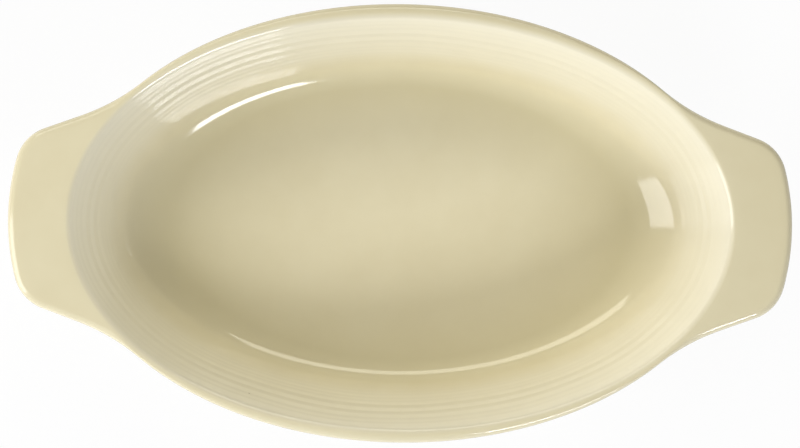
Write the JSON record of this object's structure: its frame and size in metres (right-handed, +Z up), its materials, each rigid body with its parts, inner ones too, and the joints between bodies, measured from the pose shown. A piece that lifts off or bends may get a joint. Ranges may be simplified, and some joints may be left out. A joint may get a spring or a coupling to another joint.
{
  "type": "gratin dish",
  "caption": "Shallow oval stoneware gratin dish with a flat ear at each end, cream glaze inside and out and a bare foot ring.",
  "frame": {"origin": "on the table, under the middle of the dish", "axes": "+X from the middle to one ear, +Y across the dish, +Z up"},
  "size_m": [0.25, 0.1398, 0.04],
  "materials": {
    "stoneware_body": "bare fired stoneware, matt, seen only on the foot ring",
    "glaze_coat": "glossy cream glaze",
    "base_glaze": "glossy cream glaze"
  },
  "bodies": {
    "root": {"stoneware_body": "stoneware_body", "glaze_coat": "glaze_coat", "base_glaze": "base_glaze"}
  },
  "joints": []
}
